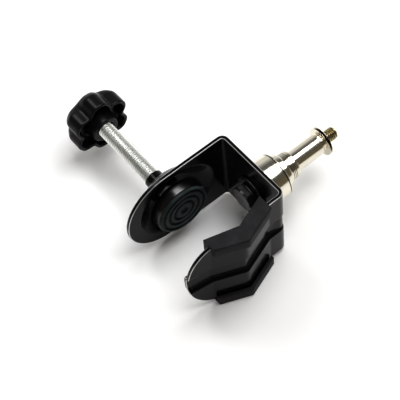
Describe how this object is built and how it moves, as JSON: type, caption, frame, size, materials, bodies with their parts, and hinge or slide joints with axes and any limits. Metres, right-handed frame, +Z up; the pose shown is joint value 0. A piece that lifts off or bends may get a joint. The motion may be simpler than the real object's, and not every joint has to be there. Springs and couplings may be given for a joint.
{
  "type": "studio c-clamp with spigot",
  "caption": "Bent steel C-clamp with a rubber-lined V jaw, a screw with star knob and swivel pad, and a spigot ending in a threaded stud.",
  "frame": {"origin": "under the middle of the clamp's box, on the surface that it lies on", "axes": "+X along the clamp screw from the knob towards the jaw, +Y along the spigot away from the throat, +Z up, across the strap"},
  "size_m": [0.1766, 0.158, 0.0744],
  "materials": {
    "black_paint": "gloss black stoved paint on pressed steel",
    "black_enamel": "gloss black enamel on the turned pad cup",
    "jaw_rubber": "matte moulded rubber",
    "pad_rubber": "satin moulded rubber with ring grooves",
    "knob_plastic": "satin moulded plastic",
    "zinc_steel": "bright zinc plated steel",
    "nickel": "polished nickel plate with a warm tint",
    "brass": "machined brass thread",
    "black_bolt": "black oxide steel"
  },
  "bodies": {
    "frame": {"clamp_frame": "black_paint", "jaw_liner": "jaw_rubber", "screw_bush": "black_paint", "spigot_boss": "nickel", "spigot": "nickel", "threaded_stud": "brass", "spigot_bolt": "black_bolt", "bolt_spring_washer": "black_bolt", "bolt_flat_washer": "black_bolt"},
    "thrust": {"thrust_washer": "zinc_steel"},
    "screw": {"clamp_screw": "zinc_steel", "knob_body": "knob_plastic", "knob_insert": "zinc_steel", "knob_cap": "knob_plastic"},
    "pad": {"pad_cup": "black_enamel", "ball_retainer": "zinc_steel", "pad_rubber": "pad_rubber"}
  },
  "joints": [
    {"name": "screw_travel", "type": "slide", "parent": "frame", "child": "thrust", "axis": [1, 0, 0], "range_m": [-0.00305, 0.04005]},
    {"name": "screw_turn", "type": "hinge", "parent": "thrust", "child": "screw", "pos_m": [-0.01688, -0.03915, 0.0372], "axis": [1, 0, 0], "range_deg": [-540, 7200]},
    {"name": "pad_tilt", "type": "hinge", "parent": "thrust", "child": "pad", "pos_m": [0.01512, -0.03915, 0.0372], "axis": [0, 0, 1], "range_deg": [-6, 6]}
  ],
  "couplings": [
    {"joint": "screw_travel", "follows": "screw_turn", "m_per_rad": 0.00031831}
  ]
}
